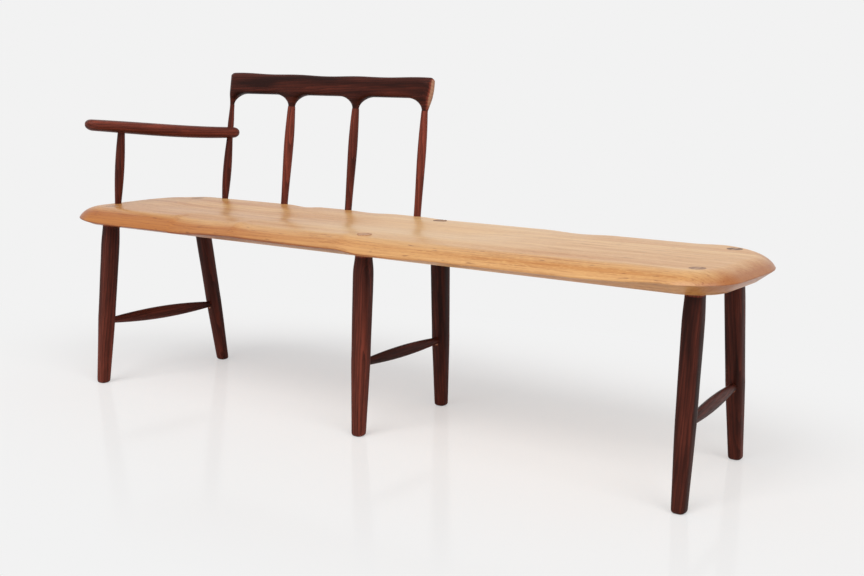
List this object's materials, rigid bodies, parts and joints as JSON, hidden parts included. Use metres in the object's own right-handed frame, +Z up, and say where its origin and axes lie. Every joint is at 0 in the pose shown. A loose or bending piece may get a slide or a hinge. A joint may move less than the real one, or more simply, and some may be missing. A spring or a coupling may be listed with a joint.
{
  "type": "bench",
  "caption": "Long wooden bench with a carved plank seat on pairs of shaved legs, a short arched spindle back and an arm at the left end only",
  "frame": {"origin": "on the floor, under the middle of the bench's length and of its whole depth, back rail included", "axes": "+X runs along the seat from the arm end to the open end, +Y from the front to the back, +Z up"},
  "size_m": [1.796, 0.4257, 0.7815],
  "materials": {
    "seat_wood": "satin",
    "frame_wood": "satin",
    "wedge_wood": "satin"
  },
  "bodies": {
    "root": {"seat": "seat_wood", "leg_front_left": "frame_wood", "leg_rear_left": "frame_wood", "leg_front_middle": "frame_wood", "leg_rear_middle": "frame_wood", "leg_front_right": "frame_wood", "leg_rear_right": "frame_wood", "wedge_front_left": "wedge_wood", "wedge_rear_left": "wedge_wood", "wedge_front_middle": "wedge_wood", "wedge_rear_middle": "wedge_wood", "wedge_front_right": "wedge_wood", "wedge_rear_right": "wedge_wood", "stretcher_left": "frame_wood", "stretcher_middle": "frame_wood", "stretcher_right": "frame_wood", "spindle_1": "frame_wood", "spindle_2": "frame_wood", "spindle_3": "frame_wood", "spindle_4": "frame_wood", "crest_rail": "frame_wood", "armrest": "frame_wood", "arm_post": "frame_wood"}
  },
  "joints": []
}
